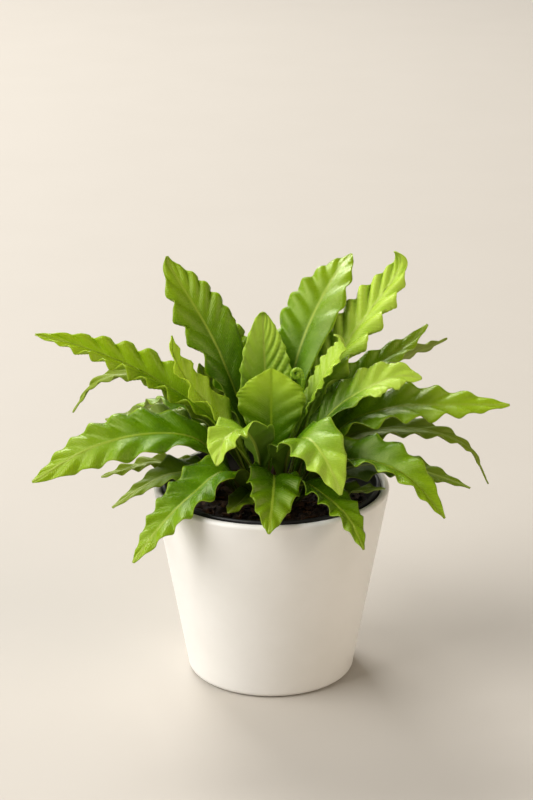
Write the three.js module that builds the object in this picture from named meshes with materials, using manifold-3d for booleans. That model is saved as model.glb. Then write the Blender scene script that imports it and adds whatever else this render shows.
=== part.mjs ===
// Wavy-edged bird's-nest fern in a nursery pot, standing in a tapered white cover pot.
// Millimetres, +Z up. The origin is the middle of the cover pot's flat bottom, -Y is the front.

import * as THREE from 'three';
import { mergeVertices } from 'three/addons/utils/BufferGeometryUtils.js';
import Module from 'manifold-3d';

const wasm = await Module();
wasm.setup();

// Driving dimensions

const gap = 0.3; // clearance between pieces that touch

const coverPot = {
  height: 117, rimRadius: 70, baseRadius: 50, wall: 4.8, floor: 6, bottomRound: 3.6, floorRound: 3, sides: 40,
};

const nurseryPot = {
  height: 111.5, rimRadius: 64.6, rimDepth: 8.5, rimWidth: 2.2, rimRound: 0.8, wall: 1.2, wallClearance: 3.4,
  shoulder: 2, footRound: 2, sides: 36,
};

// The soil's top rises by edgeDrop on the way in from the wall. Its rings lie at shares of that way.
const soil = {
  top: 105, edgeDrop: 1.5, rings: [0.15, 0.4, 0.7], levelFrom: 0.4, lumps: 0.9, recessDepth: 6, sides: 36,
};

const bark = {
  chips: 10, length: [6, 10], width: [3, 5], thickness: 2.4, tilt: 12, rise: 0.3, margin: 6, seed: 7,
};

const crown = {
  radius: 20.4, rise: 17, fullness: 2.2, rings: [0.86, 0.6, 0.25], sides: 18,
  holeRadius: 2.2, holeDepth: 5.4, holeLength: 14, holeFloor: 0.5, holeSides: 6,
  scales: 12, scaleRing: 19, scaleLength: 5.5, scaleRadius: 1.1, scaleSides: 4, scaleLean: 29, scaleRise: 1.2,
};

const rings = { outer: 16.6, middle: 10.8, inner: 5 }; // the fronds leave the crown on three rings

const blade = {
  edge: 0.8, // thickness at the margin
  rib: [2.3, 1.3], // thickness along the midrib, base and tip
  stalk: 1.45, // half width of the stalk
  stalkLength: 9,
  tipWidth: 0.7,
  taper: 1.8, // how late the outline closes towards the tip
  spineSteps: 480,
  curlGrowth: 1.5, // how the curl tightens towards the tip
  crowding: 1.5, // how much closer the waves lie towards the tip
  rowCrowding: 0.4, // and the rows of faces
  scallop: 0.08, // how far the outline goes in and out with the waves
  lean: 0.06, // how far the crests slant towards the tip
  setsIn: [0.12, 0.38], // shares of the length where the ruffle starts and where it is full
  narrow: 1.25, // the ruffle fades where the blade is narrower than 1 / narrow of its full width
  liftGrowth: 1.5, // how the ruffle grows from midrib to margin
  unevenShare: 0.3, // a slower wave that makes the ruffle uneven
  unevenRate: 0.57,
  unevenShift: 1.3,
};

// The crozier: a bare stalk and a small roll that lies in a plane along X and Z
const crozier = {
  root: ['inner', 300], stalk: [[7, 1, 140], [14, 3, 158], [18.5, 3.5, 173]], roll: [14.7, 3.5, 183],
  rollRadius: 3.8, turns: 1.15, rollPoints: 9, tightening: 0.6, thickness: 1.1, sides: 6, steps: 30,
};

const colours = {
  ceramic: 0xf1eee8, plastic: 0x17181a, soil: 0x2b1d14, crown: 0x4a3020,
  old: 0x4f7a1c, mature: 0x659421, light: 0x8fb84a, young: 0x9abf2e,
};

// Each frond: the direction it grows in (degrees round the pot from +X), its root as a ring and degrees,
// and its spine past the root as [reach, height, drift to its right]. After that the largest half
// width and where it lies, the number of waves along the left and the right margin and their height,
// how far into a wave either margin starts, the fold of the two halves and the turn of the face to its
// right, at base and tip, all in degrees, and the curl of the tip as [start, degrees]. Opens is under 1
// where the blade widens soon above its stalk, and taper over 1.8 where it closes late. Late is how much
// further out the ruffle of the left and the right margin sets in, as shares of the length, and scallop
// is their own depth of outline.

const fronds = {
  frond_left_long: {
    grows: 173, root: ['middle', 170], spine: [[27, 147], [70, 179], [111, 196], [140, 203]],
    width: 13.8, widest: 0.5, waves: [10.9, 10], ruffle: 3, start: [0.02, 0.96], fold: [40, 28],
    turn: [-20, -38], opens: 0.6, late: [0.08, 0.24], scallop: [0.1, 0.16], stations: 44,
    tone: 'mature',
  },
  frond_left_hanging: {
    grows: 160, root: ['middle', 153], spine: [[42, 152], [78, 173], [96, 173], [113, 165], [128, 145]],
    width: 8.5, widest: 0.42, waves: [9, 9], ruffle: 2.1, start: [0.3, 0.8], fold: [30, 10],
    turn: [-6, -34], opens: 0.6, taper: 1.3, stations: 36, tone: 'old',
  },
  frond_back_left_tall: {
    grows: 143, root: ['inner', 120], spine: [[25, 164], [35, 184], [45, 200], [61, 220], [80, 241.5]],
    width: 17, widest: 0.68, waves: [6.7, 11.4], ruffle: 2.6, start: [0.9, 0.29], fold: [34, 6],
    turn: [-12, -30], curl: [0.93, 40], late: [0.18, 0.46], scallop: [0.15, 0.1], stations: 42,
    tone: 'mature',
  },
  frond_back_left_hidden: {
    grows: 117, root: ['middle', 122], spine: [[32, 150], [56, 182], [72, 200], [82, 208]], width: 16,
    widest: 0.58, waves: [8, 10], ruffle: 2.4, start: [0.2, 0.6], fold: [38, 10], turn: [-8, -20],
    stations: 34, tone: 'mature',
  },
  frond_back_upright: {
    grows: 95, root: ['middle', 92], spine: [[12, 150, -1], [21, 185, -2], [27, 217, -3]], width: 16.5,
    widest: 0.6, waves: [8, 11.5], ruffle: 1, start: [0.96, 0.69], fold: [34, 14], turn: [0, 0],
    curl: [0.93, 110], scallop: [0.03, 0.03], stations: 40, tone: 'light',
  },
  frond_centre_broad: {
    grows: 90, root: ['inner', 240], spine: [[-2, 145], [0, 165], [3, 187]], width: 20.5, widest: 0.78,
    waves: [6, 6], ruffle: 1, start: [0.0, 0.5], fold: [26, 4], turn: [0, 0], taper: 1.7,
    late: [0.2, 0.2], scallop: [0.03, 0.03], stations: 26, tone: 'young',
  },
  frond_back_right_tall: {
    grows: 56, root: ['inner', 60],
    spine: [[17, 152, 0], [27, 181, -1], [42, 203, -1], [69, 228], [88, 237]], width: 19, widest: 0.68,
    waves: [10.1, 6.8], ruffle: 2, start: [0.6, 0.86], fold: [24, 6], turn: [0, 0], late: [0.12, 0.4],
    scallop: [0.05, 0.04], stations: 42, tone: 'mature',
  },
  frond_right_tall: {
    grows: 30, root: ['middle', 32], spine: [[32, 168], [53, 196], [72, 217], [84, 230], [95, 247]],
    width: 15.5, widest: 0.58, waves: [11, 8.2], ruffle: 3, start: [0.22, 0.59], fold: [30, 8],
    turn: [2, 26], curl: [0.9, 110], taper: 2.2, late: [0.1, 0.08], scallop: [0.09, 0.18], stations: 44,
    tone: 'light',
  },
  frond_centre_right_small: {
    grows: 4, root: ['inner', 0],
    spine: [[16, 150, -1.5], [26, 172, -1.8], [34, 186, -1.7], [43, 200, -1], [47, 210]], width: 10.9,
    widest: 0.78, waves: [12, 9], ruffle: 1, start: [0.1, 0.5], fold: [26, 12], turn: [10, 10],
    curl: [0.85, 120], scallop: [0.04, 0.04], stations: 36, tone: 'light',
  },
  frond_right_back_small: {
    grows: 22, root: ['outer', 20], spine: [[40, 161], [76, 186], [88, 192], [101, 203]], width: 12,
    widest: 0.5, waves: [6.8, 7.5], ruffle: 2.2, start: [0.44, 0.9], fold: [30, 10], turn: [0, 30],
    opens: 0.6, stations: 34, tone: 'mature',
  },
  frond_right_back_thin: {
    grows: 38, root: ['outer', 38], spine: [[42, 152], [84, 168], [112, 175], [125, 176], [139, 179]],
    width: 11.5, widest: 0.5, waves: [8, 8], ruffle: 2, start: [0.2, 0.7], fold: [24, 8],
    turn: [0, -55], opens: 0.6, taper: 2.4, stations: 32, tone: 'old',
  },
  frond_right_arching: {
    grows: 357, root: ['middle', 0],
    spine: [[22, 141, 3], [37, 164, 5], [57, 178, 3], [74, 184], [88, 183]], width: 13.2, widest: 0.76,
    waves: [8, 6], ruffle: 1.8, start: [0.75, 0.27], fold: [38, 8], turn: [4, 34], opens: 0.45,
    late: [0.1, 0.35], scallop: [0.05, 0.06], stations: 36, tone: 'light',
  },
  frond_right_long: {
    grows: 0, root: ['outer', 344], spine: [[42, 151], [70, 163], [105, 165], [140, 165]], width: 17,
    widest: 0.52, waves: [7, 7.7], ruffle: 2.9, start: [0.23, 0.71], fold: [22, 4], turn: [-4, 38],
    taper: 1.5, opens: 0.6, scallop: [0.1, 0.08], stations: 38, tone: 'mature',
  },
  frond_right_hanging: {
    grows: 6, root: ['outer', 5],
    spine: [[37, 136, -6], [64, 145.5, -5], [95, 144.5, -1], [118, 133.5], [131, 110]], width: 14,
    widest: 0.42, waves: [9, 9], ruffle: 2.2, start: [0.2, 0.7], fold: [24, 6], turn: [24, 10],
    opens: 0.7, taper: 0.9, stations: 32, tone: 'old',
  },
  frond_right_low: {
    grows: 326, root: ['outer', 322],
    spine: [[38, 134, 0], [62, 143, -1.5], [92, 139.5, -1], [118, 120]], width: 17.3, widest: 0.47,
    waves: [7, 7.5], ruffle: 1.9, start: [0.99, 0.23], fold: [28, 28], turn: [10, 14], opens: 0.7,
    scallop: [0.1, 0.07], stations: 36, tone: 'mature',
  },
  frond_right_low_behind: {
    grows: 343, root: ['middle', 330], spine: [[42, 129], [75, 136], [104, 131], [120, 126.5]],
    width: 14, widest: 0.42, waves: [7, 7], ruffle: 1.8, start: [0.4, 0.9], fold: [16, 4],
    turn: [38, 6], taper: 1.5, opens: 1.3, stations: 28, tone: 'old',
  },
  frond_front_right_light: {
    grows: 302, root: ['middle', 300], spine: [[20, 143], [38, 156], [50, 154], [66, 143], [74, 133]],
    width: 18.2, widest: 0.52, waves: [6.4, 6], ruffle: 2.6, start: [0.8, 0.93], fold: [22, 4],
    turn: [17, 14], opens: 0.6, late: [0.2, 0], scallop: [0.04, 0.1], stations: 32, tone: 'light',
  },
  frond_front_right_low: {
    grows: 299, root: ['outer', 288],
    spine: [[34, 127, -1], [56, 127, -3], [85, 122.5, -2], [103, 112]], width: 13, widest: 0.5,
    waves: [6, 7], ruffle: 2, start: [0.3, 0.7], fold: [30, 2], turn: [-10, -10], opens: 0.55,
    late: [0.3, 0.05], scallop: [0.03, 0.08], stations: 30, tone: 'mature',
  },
  frond_front_centre: {
    grows: 269, root: ['outer', 268], spine: [[30, 132, -2], [54, 131, -2], [86, 119]], width: 16,
    widest: 0.48, waves: [5, 6.3], ruffle: 2, start: [0.69, 0.44], fold: [28, 4], turn: [-14, -8],
    opens: 0.42, scallop: [0.05, 0.05], stations: 30, tone: 'mature',
  },
  frond_front_left_long: {
    grows: 225, root: ['outer', 233], spine: [[38, 133], [62, 127], [87, 115], [110, 98]], width: 16,
    widest: 0.44, waves: [6.4, 7.9], ruffle: 2.4, start: [0.75, 0.33], fold: [28, 2], turn: [0, -8],
    opens: 0.32, scallop: [0.1, 0.06], stations: 36, tone: 'mature',
  },
  frond_left_low: {
    grows: 202, root: ['outer', 216], spine: [[34, 125.6, 0.6], [60, 129, 4], [80, 124, 2], [99, 115]],
    width: 14, widest: 0.56, waves: [6, 6.4], ruffle: 1.8, start: [0.7, 0.92], fold: [28, 2],
    turn: [0, -20], scallop: [0.06, 0.06], taper: 0.6, opens: 0.9, stations: 30, tone: 'old',
  },
  frond_left_broad: {
    grows: 189, root: ['outer', 199], spine: [[42, 144.5], [67, 151], [104, 145], [141, 125]],
    width: 16.5, widest: 0.55, waves: [6.6, 9.3], ruffle: 2.5, start: [0.04, 0.15], fold: [30, -12],
    turn: [-14, -48], opens: 0.8, late: [0.06, 0.12], scallop: [0.08, 0.05], stations: 40,
    tone: 'mature',
  },
  frond_left_small: {
    grows: 178, root: ['outer', 182], spine: [[36, 123], [68, 128], [84, 124.5], [101, 118.5]],
    width: 6.5, widest: 0.55, waves: [6, 6], ruffle: 2, start: [0.3, 0.8], fold: [24, 4],
    turn: [0, -20], opens: 0.7, stations: 24, tone: 'old',
  },
  frond_front_left_small: {
    grows: 242, root: ['middle', 232],
    spine: [[17, 140, -0.5], [33, 160, 1], [48, 158, 4.5], [61, 147, 2.5]], width: 15.2, widest: 0.62,
    waves: [6, 7], ruffle: 2.4, start: [0.3, 0.7], fold: [36, 10], turn: [6, 4], scallop: [0.08, 0.03],
    opens: 0.86, stations: 28, tone: 'light',
  },
  frond_left_twisted: {
    grows: 190, root: ['inner', 180],
    spine: [[20, 141, 0.1], [34, 163, 1.95], [46, 177, 2.5], [57, 198, 1], [58, 211]], width: 13,
    widest: 0.5, waves: [5, 5.5], ruffle: 2.6, start: [0.3, 0.7], fold: [30, 16], turn: [-6, -34],
    opens: 1.1, taper: 2.4, scallop: [0.06, 0.06], stations: 34, tone: 'young',
  },
  frond_left_short: {
    grows: 140, root: ['outer', 139], spine: [[36, 139, 4.5], [51, 157, 5], [61, 177, 5]], width: 13,
    widest: 0.62, waves: [5, 5.5], ruffle: 2.2, start: [0.3, 0.7], fold: [36, 10], turn: [0, 0],
    opens: 0.6, stations: 22, tone: 'old',
  },
  frond_left_behind: {
    grows: 171, root: ['outer', 165], spine: [[40, 136, -1], [68, 152], [100, 150]], width: 14,
    widest: 0.5, waves: [7, 6.5], ruffle: 2.4, start: [0.3, 0.7], fold: [30, 6], turn: [0, -20],
    opens: 0.6, stations: 26, tone: 'old',
  },
  frond_right_rim: {
    grows: 324, root: ['outer', 305], spine: [[34, 120.4], [56, 123.5], [80, 131]], width: 11,
    widest: 0.5, waves: [4.5, 4], ruffle: 1.6, start: [0.3, 0.7], fold: [24, 4], turn: [0, 0],
    stations: 20, tone: 'old',
  },
  frond_front_left_low: {
    grows: 246, root: ['outer', 250], spine: [[28, 119], [44, 119], [60, 119]], width: 9, widest: 0.5,
    waves: [3, 3], ruffle: 1.6, start: [0.3, 0.7], fold: [24, 6], turn: [0, 0], stations: 18,
    tone: 'old',
  },
  frond_back_right_low: {
    grows: 56, root: ['outer', 56], spine: [[44, 134], [78, 144], [108, 134], [124, 118]], width: 15,
    widest: 0.5, waves: [7, 6.5], ruffle: 2.6, start: [0.1, 0.6], fold: [30, 4], turn: [0, 0],
    stations: 24, tone: 'mature',
  },
  frond_back_middle: {
    grows: 76, root: ['middle', 62], spine: [[34, 152], [60, 178], [76, 186]], width: 13, widest: 0.55,
    waves: [6, 5.5], ruffle: 2, start: [0.4, 0.9], fold: [34, 8], turn: [0, 0], stations: 24,
    tone: 'mature',
  },
  frond_back_low: {
    grows: 80, root: ['outer', 73], spine: [[40, 130], [76, 134], [104, 126], [124, 108]], width: 16,
    widest: 0.5, waves: [7, 6.5], ruffle: 2.6, start: [0.3, 0.8], fold: [28, 4], turn: [0, 0],
    stations: 24, tone: 'old',
  },
  frond_back_long: {
    grows: 102, root: ['outer', 89], spine: [[42, 142], [80, 157], [112, 150], [134, 130]], width: 17,
    widest: 0.5, waves: [7.5, 7], ruffle: 2.8, start: [0.5, 0], fold: [30, 4], turn: [0, 0],
    stations: 28, tone: 'mature',
  },
  frond_back_left_low: {
    grows: 122, root: ['outer', 105], spine: [[40, 126], [74, 132], [100, 123], [118, 107]], width: 14,
    widest: 0.5, waves: [6.5, 6], ruffle: 2.4, start: [0.2, 0.7], fold: [28, 4], turn: [0, 0],
    stations: 24, tone: 'old',
  },
  frond_back_left_long: {
    grows: 134, root: ['outer', 122], spine: [[42, 134], [78, 146], [108, 138], [126, 118]], width: 15,
    widest: 0.5, waves: [7, 6.5], ruffle: 2.6, start: [0.4, 0.9], fold: [30, 4], turn: [0, 0],
    stations: 24, tone: 'mature',
  },
};

// Spine: a smooth curve through the root and the chosen points, with the curl of the tip wound in

function domeHeight(radius) {
  return soil.top + crown.rise * (1 - (radius / crown.radius) ** crown.fullness);
}

function rootPoint(frond) {
  const radius = rings[frond.root[0]];
  const angle = THREE.MathUtils.degToRad(frond.root[1]);
  const depth = domeHeight(radius) - crown.holeDepth;
  return new THREE.Vector3(radius * Math.cos(angle), radius * Math.sin(angle), depth);
}

function spineOf(frond) {
  const grows = THREE.MathUtils.degToRad(frond.grows);
  const heading = new THREE.Vector3(Math.cos(grows), Math.sin(grows), 0);
  const right = new THREE.Vector3(Math.sin(grows), -Math.cos(grows), 0);
  const points = frond.spine.map(([reach, height, drift = 0]) => (
    new THREE.Vector3(0, 0, height).addScaledVector(heading, reach).addScaledVector(right, drift)
  ));
  const curve = new THREE.CatmullRomCurve3([rootPoint(frond), ...points], false, 'centripetal');
  curve.arcLengthDivisions = blade.spineSteps;
  const length = curve.getLength();
  const step = length / blade.spineSteps;
  const [curlStart, curlDegrees] = frond.curl ?? [1, 0];
  const spine = [];
  let place = curve.getPointAt(0);
  for (let i = 0; i <= blade.spineSteps; i += 1) {
    const along = i / blade.spineSteps;
    const forward = curve.getTangentAt(along);
    const side = right.clone().addScaledVector(forward, -right.dot(forward)).normalize();
    const curled = Math.max(0, along - curlStart) / (1 - curlStart || 1);
    forward.applyAxisAngle(side, THREE.MathUtils.degToRad(curlDegrees) * curled ** blade.curlGrowth);
    const face = side.clone().cross(forward);
    spine.push({ place, forward, side, face });
    place = place.clone().addScaledVector(forward, step);
  }
  return { spine, length };
}

// Blade: a folded, ruffled strip of two halves with a thicker midrib, closed all round

function smooth(low, high, value) {
  const t = Math.min(1, Math.max(0, (value - low) / (high - low)));
  return t * t * (3 - 2 * t);
}

function halfWidth(frond, along, length) {
  const opening = smooth(blade.stalkLength / length, frond.widest, along) ** (frond.opens ?? 1);
  const past = Math.max(0, along - frond.widest) / (1 - frond.widest);
  const closing = 1 - past ** (frond.taper ?? blade.taper);
  const base = THREE.MathUtils.lerp(blade.stalk, frond.width, opening);
  return THREE.MathUtils.lerp(blade.tipWidth, base, closing);
}

function bladePoint(frond, at, along, length, across) {
  const hand = Math.sign(across);
  const out = Math.abs(across);
  const turn = THREE.MathUtils.degToRad(THREE.MathUtils.lerp(frond.turn[0], frond.turn[1], along));
  const fold = THREE.MathUtils.degToRad(THREE.MathUtils.lerp(frond.fold[0], frond.fold[1], along));
  const face = at.face.clone().applyAxisAngle(at.forward, turn);
  const side = at.side.clone().applyAxisAngle(at.forward, turn);
  const half = side.clone().multiplyScalar(hand * Math.cos(fold)).addScaledVector(face, Math.sin(fold));
  const up = face.clone().multiplyScalar(Math.cos(fold)).addScaledVector(side, -hand * Math.sin(fold));
  const width = halfWidth(frond, along, length);
  const margin = hand < 0 ? 0 : 1;
  const waves = frond.waves[margin] * (along ** blade.crowding - blade.lean * out);
  const phase = 2 * Math.PI * (waves + frond.start[margin]);
  const slowWave = Math.sin(blade.unevenRate * phase + blade.unevenShift);
  const uneven = Math.sin(phase) + blade.unevenShare * slowWave;
  const late = frond.late?.[margin] ?? 0;
  const setsIn = smooth(blade.setsIn[0] + late, blade.setsIn[1] + late, along);
  const damp = setsIn * Math.min(1, (width / frond.width) * blade.narrow);
  const scallop = frond.scallop?.[margin] ?? blade.scallop;
  const lift = frond.ruffle * damp * uneven * out ** blade.liftGrowth;
  const reach = width * out * (1 + scallop * damp * Math.cos(phase));
  return at.place.clone().addScaledVector(half, reach).addScaledVector(up, lift);
}

function alongAt(row, rows) {
  const share = row / (rows - 1);
  return share * (1 + blade.rowCrowding * (1 - share));
}

function frondGeometry(frond) {
  const { spine, length } = spineOf(frond);
  const columns = [-1, 0, 1];
  const wide = columns.length;
  const rows = frond.stations;
  const middle = [];
  for (let row = 0; row < rows; row += 1) {
    const along = alongAt(row, rows);
    const at = spine[Math.round(along * blade.spineSteps)];
    columns.forEach((across) => middle.push(bladePoint(frond, at, along, length, across)));
  }
  const sheet = [];
  for (let row = 0; row < rows - 1; row += 1) {
    for (let column = 0; column < wide - 1; column += 1) {
      const a = row * wide + column;
      const b = a + 1;
      const c = a + wide;
      const d = c + 1;
      if (column === 0) sheet.push([a, b, d], [a, d, c]);
      else sheet.push([a, b, c], [b, d, c]);
    }
  }
  const normals = middle.map(() => new THREE.Vector3());
  sheet.forEach(([a, b, c]) => {
    const ab = middle[b].clone().sub(middle[a]);
    const ac = middle[c].clone().sub(middle[a]);
    const normal = ab.cross(ac);
    [a, b, c].forEach((corner) => normals[corner].add(normal));
  });
  const halfThickness = (index) => {
    const along = alongAt(Math.floor(index / wide), rows);
    const rib = THREE.MathUtils.lerp(blade.rib[0], blade.rib[1], along);
    return (columns[index % wide] === 0 ? rib : blade.edge) / 2;
  };
  const positions = [];
  [1, -1].forEach((face) => {
    middle.forEach((point, index) => {
      const offset = normals[index].clone().setLength(face * halfThickness(index));
      positions.push(...point.clone().add(offset).toArray());
    });
  });
  const count = middle.length;
  const faces = [];
  sheet.forEach(([a, b, c]) => faces.push(a, b, c, a + count, c + count, b + count));
  const rim = [];
  for (let column = 0; column < wide; column += 1) rim.push(column);
  for (let row = 1; row < rows; row += 1) rim.push(row * wide + wide - 1);
  for (let column = wide - 2; column >= 0; column -= 1) rim.push((rows - 1) * wide + column);
  for (let row = rows - 2; row > 0; row -= 1) rim.push(row * wide);
  rim.forEach((from, index) => {
    const to = rim[(index + 1) % rim.length];
    faces.push(from, from + count, to, to, from + count, to + count);
  });
  const geometry = new THREE.BufferGeometry();
  geometry.setAttribute('position', new THREE.Float32BufferAttribute(positions, 3));
  geometry.setIndex(faces);
  return geometry;
}

function crozierCurve() {
  const [x, y, z] = crozier.roll;
  const points = [rootPoint(crozier)];
  crozier.stalk.forEach((point) => points.push(new THREE.Vector3(...point)));
  for (let i = 0; i <= crozier.rollPoints; i += 1) {
    const wound = i / crozier.rollPoints;
    const angle = wound * crozier.turns * 2 * Math.PI;
    const radius = crozier.rollRadius * (1 - crozier.tightening * wound);
    points.push(new THREE.Vector3(x + radius * Math.cos(angle), y, z + radius * Math.sin(angle)));
  }
  return new THREE.CatmullRomCurve3(points, false, 'centripetal');
}

function crozierGeometry() {
  const section = new THREE.Shape();
  section.absarc(0, 0, crozier.thickness, 0, 2 * Math.PI, false);
  return new THREE.ExtrudeGeometry(section, {
    steps: crozier.steps, curveSegments: crozier.sides / 2, bevelEnabled: false, extrudePath: crozierCurve(),
  });
}

// Joining and cutting of closed solids

function toSolid(geometry) {
  const bare = geometry.clone();
  bare.deleteAttribute('normal');
  bare.deleteAttribute('uv');
  const merged = mergeVertices(bare, 1e-4);
  const mesh = new wasm.Mesh({
    numProp: 3,
    vertProperties: Float32Array.from(merged.attributes.position.array),
    triVerts: Uint32Array.from(merged.index.array),
  });
  return new wasm.Manifold(mesh);
}

function toGeometry(manifoldSolid) {
  const mesh = manifoldSolid.getMesh();
  const geometry = new THREE.BufferGeometry();
  geometry.setAttribute('position', new THREE.Float32BufferAttribute(mesh.vertProperties, 3));
  geometry.setIndex(Array.from(mesh.triVerts));
  return geometry;
}

function turned(profile, sides) {
  const points = profile.map(([radius, height]) => new THREE.Vector2(radius, height));
  return new THREE.LatheGeometry(points, sides).rotateX(Math.PI / 2);
}

// Part of a circle in a profile, about [radius, height], from one angle to another in degrees
function arc(radius, height, size, from, to, steps) {
  const points = [];
  for (let i = 0; i <= steps; i += 1) {
    const angle = THREE.MathUtils.degToRad(THREE.MathUtils.lerp(from, to, i / steps));
    points.push([radius + size * Math.cos(angle), height + size * Math.sin(angle)]);
  }
  return points;
}

// Cover pot: outside up the wall, over the round lip, down inside to the floor

function coverPotGeometry() {
  const { height, rimRadius, baseRadius, wall, floor, bottomRound, floorRound, sides } = coverPot;
  const lip = wall / 2;
  const floorRadius = baseRadius - wall - floorRound;
  return turned([
    [0, 0],
    ...arc(baseRadius - bottomRound, bottomRound, bottomRound, -90, 0, 2),
    ...arc(rimRadius - lip, height - lip, lip, 0, 180, 4),
    ...arc(floorRadius, floor + floorRound, floorRound, 0, -90, 2),
    [0, floor],
  ], sides);
}

// Nursery pot: thin tapered wall with a shoulder under its rolled rim

function nurseryWall(height) {
  const slope = (coverPot.rimRadius - coverPot.baseRadius) / coverPot.height;
  return coverPot.baseRadius - coverPot.wall - nurseryPot.wallClearance + slope * height;
}

function nurseryPotGeometry() {
  const { height, rimRadius, rimDepth, rimWidth, rimRound, wall, shoulder, footRound, sides } = nurseryPot;
  const foot = coverPot.floor + gap;
  const top = foot + height;
  const collar = top - rimDepth;
  return turned([
    [0, foot],
    [nurseryWall(foot) - footRound, foot],
    [nurseryWall(foot + footRound), foot + footRound],
    [nurseryWall(collar - shoulder), collar - shoulder],
    [rimRadius - shoulder / 2, collar],
    [rimRadius, top - rimRound],
    [rimRadius - rimWidth / 2, top],
    [rimRadius - rimWidth, top - rimRound],
    [rimRadius - rimWidth - wall / 2, collar + shoulder],
    [nurseryWall(collar - shoulder / 2) - wall, collar - shoulder / 2],
    [nurseryWall(foot + footRound) - wall, foot + wall],
    [0, foot + wall],
  ], sides);
}

// Potting soil: lumpy top with bark chips, and a recess for the crown

function lumpAt(x, y) {
  return Math.sin(x * 0.31 + 1.1) * Math.cos(y * 0.27) + 0.6 * Math.sin(x * 0.72 - y * 0.55 + 0.4);
}

function seeded(seed) {
  let state = seed;
  return () => {
    state = (state * 16807) % 2147483647;
    return state / 2147483647;
  };
}

function barkChip(random, recess, edge, share) {
  const length = THREE.MathUtils.lerp(...bark.length, random());
  const width = THREE.MathUtils.lerp(...bark.width, random());
  const chip = new THREE.BoxGeometry(length, width, bark.thickness);
  const radius = THREE.MathUtils.lerp(recess + bark.margin, edge - bark.margin, random());
  const angle = 2 * Math.PI * share;
  chip.rotateX(THREE.MathUtils.degToRad(bark.tilt) * (2 * random() - 1)).rotateZ(2 * Math.PI * random());
  return chip.translate(radius * Math.cos(angle), radius * Math.sin(angle), soil.top + bark.rise);
}

function soilGeometry() {
  const foot = coverPot.floor + gap + nurseryPot.wall + gap;
  const rimHeight = soil.top - soil.edgeDrop;
  const edge = nurseryWall(rimHeight) - nurseryPot.wall - gap;
  const recess = crown.radius + gap;
  const inwards = soil.rings.map((share) => [
    THREE.MathUtils.lerp(edge, recess, share),
    rimHeight + soil.edgeDrop * smooth(0, soil.levelFrom, share),
  ]);
  const ground = turned([
    [0, foot],
    [nurseryWall(foot) - nurseryPot.wall - gap, foot],
    [edge, rimHeight],
    ...inwards,
    [recess, soil.top],
    [recess, soil.top - soil.recessDepth],
    [0, soil.top - soil.recessDepth],
  ], soil.sides);
  const position = ground.attributes.position;
  for (let i = 0; i < position.count; i += 1) {
    const x = position.getX(i);
    const y = position.getY(i);
    const radius = Math.hypot(x, y);
    const lumpy = position.getZ(i) > rimHeight + 0.1 && radius > recess + 1;
    if (lumpy) position.setZ(i, position.getZ(i) + soil.lumps * lumpAt(x, y));
  }
  const random = seeded(bark.seed);
  let solid = toSolid(ground);
  for (let i = 0; i < bark.chips; i += 1) {
    const share = (i + random()) / bark.chips;
    solid = solid.add(toSolid(barkChip(random, recess, edge, share)));
  }
  return toGeometry(solid);
}

// Crown: a low dome ringed with scales, with a plain slanting hole for each stalk

function crownScale(angle) {
  const scale = new THREE.ConeGeometry(crown.scaleRadius, crown.scaleLength, crown.scaleSides);
  scale.rotateX(Math.PI / 2).rotateY(THREE.MathUtils.degToRad(crown.scaleLean));
  scale.translate(crown.scaleRing, 0, domeHeight(crown.scaleRing) + crown.scaleRise);
  return scale.rotateZ(angle);
}

function rootHole(root) {
  const { holeRadius, holeLength, holeSides, holeFloor } = crown;
  const hole = new THREE.CylinderGeometry(holeRadius, holeRadius, holeLength, holeSides);
  hole.translate(0, holeLength / 2 - holeFloor, 0);
  const up = new THREE.Vector3(0, 1, 0);
  hole.applyQuaternion(new THREE.Quaternion().setFromUnitVectors(up, root.forward));
  return hole.translate(root.place.x, root.place.y, root.place.z);
}

function crownGeometry() {
  const profile = [[0, soil.top - soil.recessDepth + gap]];
  profile.push([crown.radius, soil.top - soil.recessDepth + gap]);
  [1, ...crown.rings, 0].forEach((share) => {
    profile.push([share * crown.radius, domeHeight(share * crown.radius)]);
  });
  let solid = toSolid(turned(profile, crown.sides));
  for (let i = 0; i < crown.scales; i += 1) {
    solid = solid.add(toSolid(crownScale(((i + 0.5) / crown.scales) * 2 * Math.PI)));
  }
  const roots = Object.values(fronds).map((frond) => spineOf(frond).spine[0]);
  roots.push({ place: rootPoint(crozier), forward: crozierCurve().getTangentAt(0) });
  roots.forEach((root) => {
    solid = solid.subtract(toSolid(rootHole(root)));
  });
  const bodies = solid.decompose().sort((a, b) => b.volume() - a.volume());
  return toGeometry(bodies[0]); // a scrap cut loose between two holes is dropped
}

// Assembly

const fern = new THREE.Group();

function place(name, geometry, color, roughness) {
  const mesh = new THREE.Mesh(geometry, new THREE.MeshStandardMaterial({ color, roughness, metalness: 0 }));
  mesh.name = name;
  fern.add(mesh);
}

place('cover_pot', coverPotGeometry(), colours.ceramic, 0.4);
place('nursery_pot', nurseryPotGeometry(), colours.plastic, 0.45);
place('potting_soil', soilGeometry(), colours.soil, 0.95);
place('crown', crownGeometry(), colours.crown, 0.85);
place('crozier', crozierGeometry(), colours.young, 0.4);
Object.entries(fronds).forEach(([name, frond]) => {
  place(name, frondGeometry(frond), colours[frond.tone], 0.4);
});

export default fern;
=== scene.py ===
# Potted fern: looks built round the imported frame. Lengths are in millimetres and angles in degrees.

import math
import random

import bpy
from mathutils import Matrix, Vector, noise


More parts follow.
